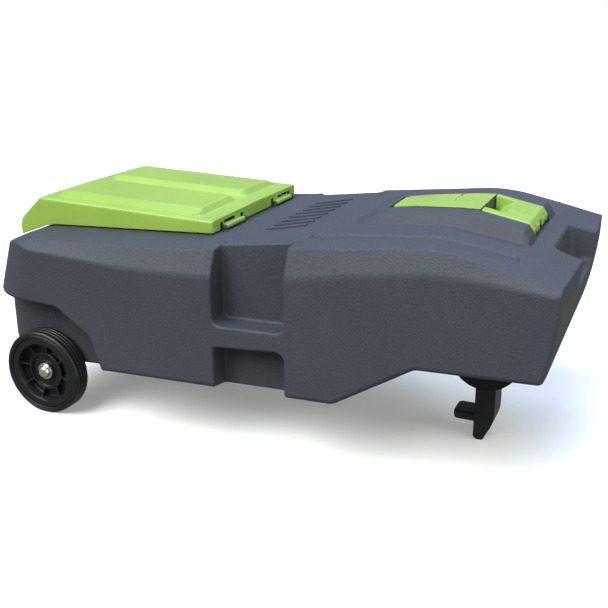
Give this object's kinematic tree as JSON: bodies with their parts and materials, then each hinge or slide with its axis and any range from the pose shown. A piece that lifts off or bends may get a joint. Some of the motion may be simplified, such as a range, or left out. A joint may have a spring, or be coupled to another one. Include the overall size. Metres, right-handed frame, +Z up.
{
  "type": "wheeled portable holding tank",
  "caption": "Low wheeled plastic holding tank with a green hinged hose-locker lid, a green port cover, a flip-up pull handle, a fold-down stand and moulded hand pockets.",
  "frame": {"origin": "centre of the bounding box on the ground plane", "axes": "+X towards the pulling end with the handle and stand, -Y the right-hand side, +Z up"},
  "size_m": [1.3117, 0.638, 0.5366],
  "materials": {
    "tank_plastic": "fine-grained moulded polyethylene",
    "green_plastic": "satin moulded lime green",
    "black_plastic": "satin black",
    "tyre_rubber": "solid black rubber",
    "seal_rubber": "soft black rubber",
    "zinc_steel": "bright zinc plate",
    "black_steel": "satin black powder coat",
    "clear_plastic": "clear"
  },
  "bodies": {
    "tank": {"tank_body": "tank_plastic", "lid_hinge_pin_left": "zinc_steel", "lid_hinge_pin_right": "zinc_steel", "port_cover_pin": "zinc_steel", "pull_handle_pin": "zinc_steel", "inlet_collar": "black_plastic", "vent_valve": "black_plastic", "gauge_housing": "black_plastic", "gauge_lens": "clear_plastic", "float_spindle": "zinc_steel", "outlet_gasket": "seal_rubber", "outlet_fitting": "black_plastic", "axle": "zinc_steel", "stand_bracket": "black_steel", "stand_pin": "zinc_steel", "stand_pin_clip": "zinc_steel", "inner_washer_left": "zinc_steel", "outer_washer_left": "zinc_steel", "cap_nut_left": "zinc_steel", "axle_bracket_left": "black_steel", "axle_screw_left_1": "zinc_steel", "axle_screw_left_2": "zinc_steel", "inner_washer_right": "zinc_steel", "outer_washer_right": "zinc_steel", "cap_nut_right": "zinc_steel", "axle_bracket_right": "black_steel", "axle_screw_right_1": "zinc_steel", "axle_screw_right_2": "zinc_steel", "stand_screw_1": "zinc_steel", "stand_screw_2": "zinc_steel", "stand_screw_3": "zinc_steel", "stand_screw_4": "zinc_steel"},
    "lid": {"storage_lid": "green_plastic"},
    "cover": {"port_cover": "green_plastic"},
    "handle": {"pull_handle": "green_plastic"},
    "filler_cap": {"inlet_cap": "black_plastic"},
    "needle": {"gauge_needle": "green_plastic"},
    "float": {"float_arm": "black_plastic"},
    "drain_cap": {"outlet_cap": "green_plastic"},
    "wheel_left": {"tyre_left": "tyre_rubber", "wheel_hub_left": "black_plastic"},
    "wheel_right": {"tyre_right": "tyre_rubber", "wheel_hub_right": "black_plastic"},
    "stand": {"stand_leg": "black_plastic"}
  },
  "joints": [
    {"name": "lid_hinge", "type": "hinge", "parent": "tank", "child": "lid", "pos_m": [-0.092, 0, 0.466], "axis": [0, 1, 0], "range_deg": [0, 95]},
    {"name": "cover_hinge", "type": "hinge", "parent": "tank", "child": "cover", "pos_m": [0.253, 0, 0.511], "axis": [0, -1, 0], "range_deg": [0, 100]},
    {"name": "handle_hinge", "type": "hinge", "parent": "tank", "child": "handle", "pos_m": [0.544, 0, 0.497], "axis": [0, 1, 0], "range_deg": [0, 70]},
    {"name": "filler_cap_turn", "type": "hinge", "parent": "tank", "child": "filler_cap", "pos_m": [0.374, 0, 0.5], "axis": [0, 0, 1], "range_deg": [0, 90]},
    {"name": "float_swing", "type": "hinge", "parent": "tank", "child": "float", "pos_m": [0.282, 0, 0.474], "axis": [0, 1, 0], "range_deg": [0, 36]},
    {"name": "needle_turn", "type": "hinge", "parent": "tank", "child": "needle", "pos_m": [0.282, 0, 0.49], "axis": [0, 0, -1], "range_deg": [0, 90]},
    {"name": "drain_cap_turn", "type": "hinge", "parent": "tank", "child": "drain_cap", "pos_m": [-0.644, 0, 0.18], "axis": [-1, 0, 0], "range_deg": [0, 90]},
    {"name": "wheel_left_spin", "type": "hinge", "parent": "tank", "child": "wheel_left", "pos_m": [-0.516, 0.2915, 0.1016], "axis": [0, 1, 0], "continuous": true},
    {"name": "wheel_right_spin", "type": "hinge", "parent": "tank", "child": "wheel_right", "pos_m": [-0.516, -0.2915, 0.1016], "axis": [0, 1, 0], "continuous": true},
    {"name": "stand_fold", "type": "hinge", "parent": "tank", "child": "stand", "pos_m": [0.4715, 0, 0.165], "axis": [0, -1, 0], "range_deg": [0, 85]}
  ],
  "couplings": [
    {"joint": "needle_turn", "follows": "float_swing", "ratio": 2.5}
  ]
}
